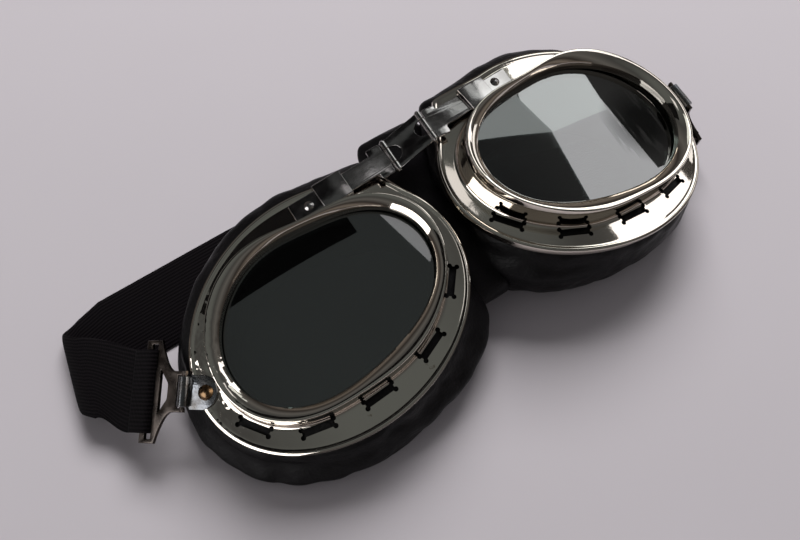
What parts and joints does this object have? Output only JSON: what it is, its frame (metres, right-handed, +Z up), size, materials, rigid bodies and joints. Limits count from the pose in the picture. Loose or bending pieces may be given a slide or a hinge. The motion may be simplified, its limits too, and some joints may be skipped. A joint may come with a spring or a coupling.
{
  "type": "flying goggles",
  "caption": "Aviator flying goggles: chromed eyepieces with smoke lenses on padded cups, hinged over the nose, with an elastic strap on swivel clips and stamped buckles.",
  "frame": {"origin": "bottom centre of the bounding box, on the table plane the goggles lie on", "axes": "+X towards the wearer-side right-hand eyepiece as seen from above, +Y towards the brow, +Z up, out of the lenses"},
  "size_m": [0.2234, 0.0966, 0.047],
  "materials": {
    "chrome": "bright chrome plating",
    "smoke_lens": "smoke grey, polished",
    "seal_rubber": "matt",
    "bright_steel": "plated steel",
    "clip_steel": "plated steel, worn",
    "rivet_brass": "tarnished brass",
    "dark_bronze": "dark bronze plating",
    "elastic": "ribbed woven elastic",
    "cup_leather": "satin artificial leather",
    "face_foam": "soft foam"
  },
  "bodies": {
    "left_eyepiece": {"left_frame": "chrome", "left_lens": "smoke_lens", "left_lens_seal": "seal_rubber", "left_hinge_plate": "bright_steel", "left_plate_rivet": "bright_steel", "left_guide_loop": "bright_steel", "left_hinge_pin": "bright_steel", "left_clip_rivet": "rivet_brass", "left_face_foam": "face_foam", "left_cup": "cup_leather", "left_soft_bridge": "cup_leather", "left_strap_run": "elastic", "strap_middle": "elastic"},
    "bridge_link": {"bridge_link": "bright_steel"},
    "right_eyepiece": {"right_frame": "chrome", "right_lens": "smoke_lens", "right_lens_seal": "seal_rubber", "right_hinge_plate": "bright_steel", "right_plate_rivet": "bright_steel", "right_guide_loop": "bright_steel", "right_hinge_pin": "bright_steel", "right_clip_rivet": "bright_steel", "right_face_foam": "face_foam", "right_cup": "cup_leather", "right_soft_bridge": "cup_leather", "right_strap_run": "elastic"},
    "left_clip": {"left_clip": "clip_steel"},
    "right_clip": {"right_clip": "clip_steel"},
    "left_buckle": {"left_buckle": "dark_bronze", "left_strap_loop": "elastic", "left_strap_front": "elastic", "left_strap_fold": "elastic", "left_strap_lower": "elastic"},
    "right_buckle": {"right_buckle": "dark_bronze", "right_strap_loop": "elastic", "right_strap_front": "elastic"}
  },
  "joints": [
    {"name": "left_bridge_hinge", "type": "hinge", "parent": "left_eyepiece", "child": "bridge_link", "pos_m": [0.00458, 0.02089, 0.03738], "axis": [0, 0.9851, 0.1719], "range_deg": [-40, 3], "deforming": ["left_soft_bridge", "strap_middle"]},
    {"name": "right_bridge_hinge", "type": "hinge", "parent": "bridge_link", "child": "right_eyepiece", "pos_m": [0.01783, 0.02157, 0.04199], "axis": [0, 0.9851, 0.1719], "range_deg": [-40, 3], "deforming": ["right_soft_bridge"]},
    {"name": "left_clip_swivel", "type": "hinge", "parent": "left_eyepiece", "child": "left_clip", "pos_m": [-0.07665, -0.00883, 0.01919], "axis": [-0.2725, -0.1654, 0.9478], "range_deg": [-5, 55]},
    {"name": "right_clip_swivel", "type": "hinge", "parent": "right_eyepiece", "child": "right_clip", "pos_m": [0.09906, -0.00362, 0.02459], "axis": [0.2725, -0.1654, 0.9478], "range_deg": [-15, 15]},
    {"name": "left_buckle_hinge", "type": "hinge", "parent": "left_clip", "child": "left_buckle", "pos_m": [-0.08209, -0.00531, 0.02008], "axis": [-0.5519, -0.7801, -0.2948], "range_deg": [-78, 8], "deforming": ["left_strap_front", "left_strap_lower"]},
    {"name": "right_buckle_hinge", "type": "hinge", "parent": "right_clip", "child": "right_buckle", "pos_m": [0.1056, -0.00361, 0.02455], "axis": [0, 0.9851, 0.1719], "range_deg": [-110, 3], "deforming": ["right_strap_front"]}
  ]
}
